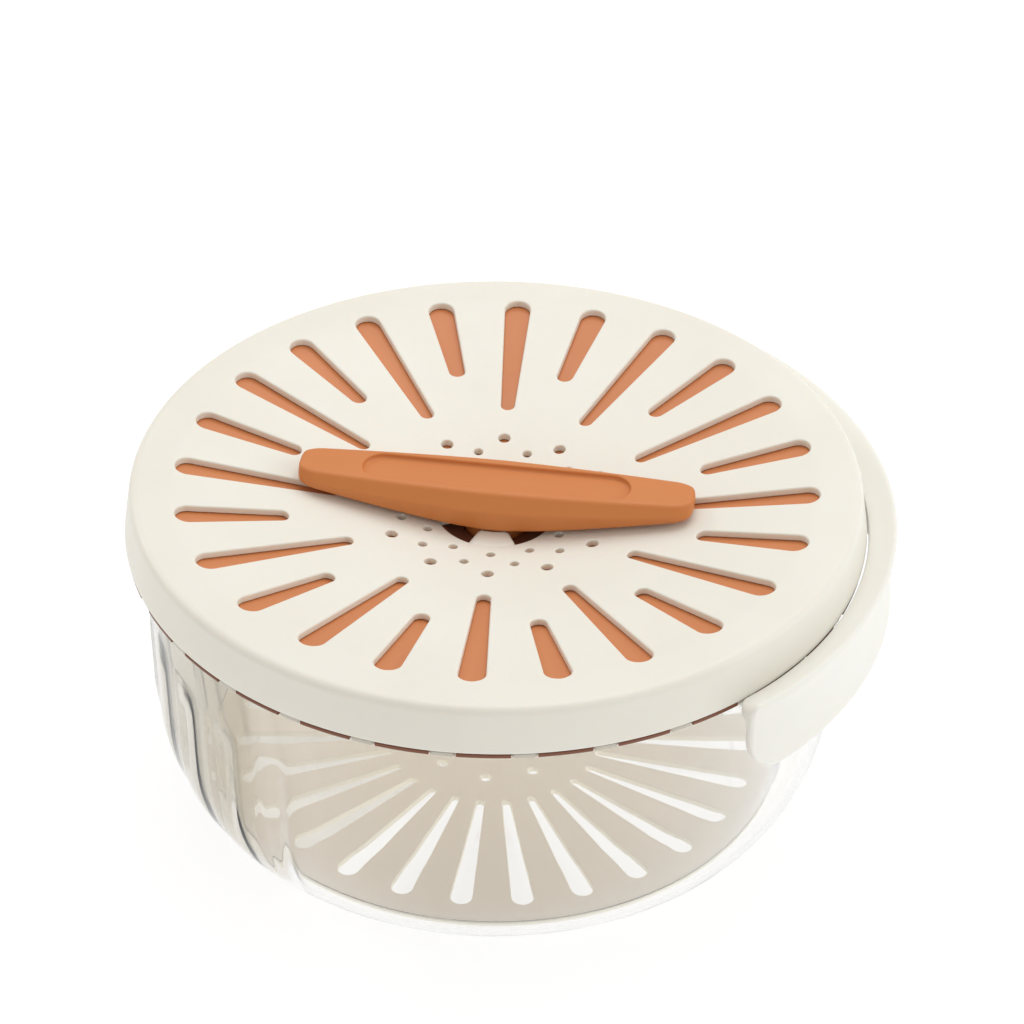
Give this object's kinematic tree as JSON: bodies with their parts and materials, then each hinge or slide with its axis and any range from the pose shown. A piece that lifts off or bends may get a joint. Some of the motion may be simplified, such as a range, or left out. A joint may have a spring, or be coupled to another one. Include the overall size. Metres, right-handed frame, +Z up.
{
  "type": "salad spinner",
  "caption": "Salad spinner: clear bowl with a curved side handle, spinning basket with a slotted floor, and a dished, slotted two-layer lid with a turning bar and step-up gears.",
  "frame": {"origin": "centre of the bowl's flat base", "axes": "+Z up along the spinning axis, +X through the middle of the side handle"},
  "size_m": [0.2755, 0.265, 0.125],
  "materials": {
    "clear_plastic": "clear moulded",
    "ivory_plastic": "fine satin",
    "orange_plastic": "satin",
    "gear_plastic": "natural acetal",
    "steel": "bright zinc"
  },
  "bodies": {
    "bowl": {"bowl": "clear_plastic", "bowl_pivot_pin": "steel", "side_handle": "ivory_plastic", "side_handle_screw_left": "steel", "side_handle_screw_right": "steel"},
    "basket": {"basket_body": "clear_plastic", "basket_floor": "ivory_plastic", "basket_pivot_cup": "gear_plastic"},
    "lid": {"lid_cover": "ivory_plastic", "inner_lid": "orange_plastic", "gear_housing": "ivory_plastic", "shaft_bush": "gear_plastic", "housing_screw_1": "steel", "housing_screw_2": "steel", "housing_screw_3": "steel", "housing_screw_4": "steel", "planet_pin_1": "steel", "planet_pin_2": "steel", "planet_pin_3": "steel"},
    "crank": {"turning_bar": "orange_plastic", "thrust_washer": "gear_plastic", "ring_gear": "gear_plastic", "turning_bar_screw": "steel"},
    "planet_1": {"planet_gear_1": "gear_plastic"},
    "planet_2": {"planet_gear_2": "gear_plastic"},
    "planet_3": {"planet_gear_3": "gear_plastic"},
    "drive": {"sun_pinion": "gear_plastic", "drive_plate": "ivory_plastic", "drive_plate_screw": "steel"}
  },
  "joints": [
    {"name": "lid_lift", "type": "slide", "parent": "bowl", "child": "lid", "axis": [0, 0, 1], "range_m": [0, 0.12]},
    {"name": "basket_spin", "type": "hinge", "parent": "bowl", "child": "basket", "pos_m": [0, 0, 0.009], "axis": [0, 0, 1], "continuous": true},
    {"name": "handle_turn", "type": "hinge", "parent": "lid", "child": "crank", "pos_m": [0, 0, 0.1], "axis": [0, 0, 1], "continuous": true},
    {"name": "drive_spin", "type": "hinge", "parent": "lid", "child": "drive", "pos_m": [0, 0, 0.086], "axis": [0, 0, 1], "continuous": true},
    {"name": "planet_1_spin", "type": "hinge", "parent": "lid", "child": "planet_1", "pos_m": [0.02475, 0, 0.093], "axis": [0, 0, 1], "continuous": true},
    {"name": "planet_2_spin", "type": "hinge", "parent": "lid", "child": "planet_2", "pos_m": [-0.01238, 0.02143, 0.093], "axis": [0, 0, 1], "continuous": true},
    {"name": "planet_3_spin", "type": "hinge", "parent": "lid", "child": "planet_3", "pos_m": [-0.01238, -0.02143, 0.093], "axis": [0, 0, 1], "continuous": true}
  ],
  "couplings": [
    {"joint": "drive_spin", "follows": "basket_spin", "ratio": 1},
    {"joint": "handle_turn", "follows": "basket_spin", "ratio": -0.29412},
    {"joint": "planet_1_spin", "follows": "basket_spin", "ratio": -0.83333},
    {"joint": "planet_2_spin", "follows": "basket_spin", "ratio": -0.83333},
    {"joint": "planet_3_spin", "follows": "basket_spin", "ratio": -0.83333}
  ]
}
